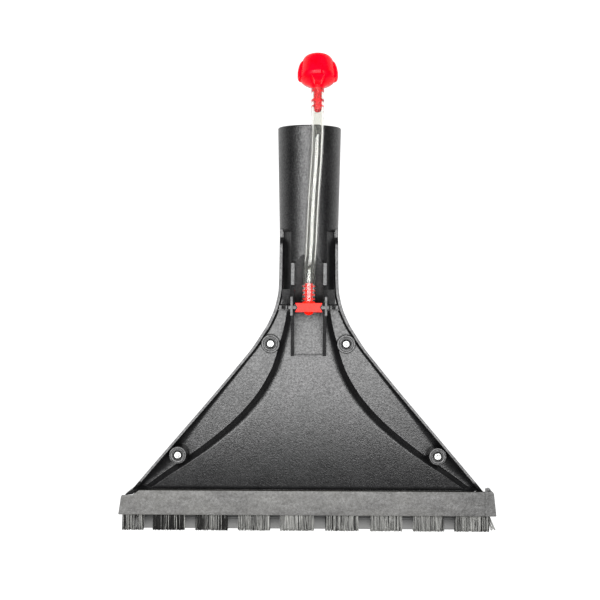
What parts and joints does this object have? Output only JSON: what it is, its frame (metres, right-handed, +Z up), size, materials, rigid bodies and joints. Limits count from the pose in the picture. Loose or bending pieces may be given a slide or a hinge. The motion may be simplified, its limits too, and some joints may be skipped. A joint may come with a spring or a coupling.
{
  "type": "carpet cleaner floor wash head",
  "caption": "Flared spray-extraction floor head of a carpet cleaner, with a wand socket, spray jet, clear solution hose, quick coupling and clip-on brush bar.",
  "frame": {"origin": "centre of the head's box, hose and coupling left out, on the table it lies on", "axes": "+X across the mouth to the right, +Y from the bristles to the neck's mouth, +Z up from the table, out of the side that faces the carpet in use"},
  "size_m": [0.2648, 0.3316, 0.0579],
  "materials": {
    "black_plastic": "fine spark-eroded grain",
    "grey_plastic": "satin, lightly scuffed",
    "red_plastic": "glossy, slightly translucent",
    "clear_pvc": "clear soft tube",
    "zinc_steel": "bright zinc plated",
    "black_rubber": "plain",
    "grey_rubber": "smooth",
    "bristle": "black and clear nylon bristles mixed"
  },
  "bodies": {
    "head": {"front_shell": "black_plastic", "rear_shell": "black_plastic", "duct_seal_left": "black_rubber", "duct_seal_right": "black_rubber", "shell_screws": "zinc_steel"},
    "water_line": {"spray_jet": "red_plastic", "jet_tip": "red_plastic", "solution_hose": "clear_pvc", "coupling_body": "red_plastic", "coupling_seal_ring": "black_rubber"},
    "release_left": {"release_tab_left": "red_plastic"},
    "release_right": {"release_tab_right": "red_plastic"},
    "brush_bar": {"bar_rail": "grey_plastic", "bar_end_left": "grey_plastic", "bar_end_right": "grey_plastic", "bar_clips": "black_plastic", "squeegee_blade": "grey_rubber", "tuft_1": "bristle", "tuft_2": "bristle", "tuft_3": "bristle", "tuft_4": "bristle", "tuft_5": "bristle", "tuft_6": "bristle", "tuft_7": "bristle", "tuft_8": "bristle", "tuft_9": "bristle"}
  },
  "joints": [
    {"name": "brush_bar_pull", "type": "slide", "parent": "head", "child": "brush_bar", "axis": [0, -1, 0], "range_m": [0, 0.03]},
    {"name": "water_line_lift", "type": "slide", "parent": "head", "child": "water_line", "axis": [0, 0, 1], "range_m": [0, 0.03]},
    {"name": "release_left_press", "type": "slide", "parent": "water_line", "child": "release_left", "axis": [1, 0, 0], "range_m": [0, 0.0012], "stiffness_N_per_m": 800},
    {"name": "release_right_press", "type": "slide", "parent": "water_line", "child": "release_right", "axis": [-1, 0, 0], "range_m": [0, 0.0012], "stiffness_N_per_m": 800}
  ],
  "couplings": [
    {"joint": "release_right_press", "follows": "release_left_press", "ratio": 1}
  ]
}
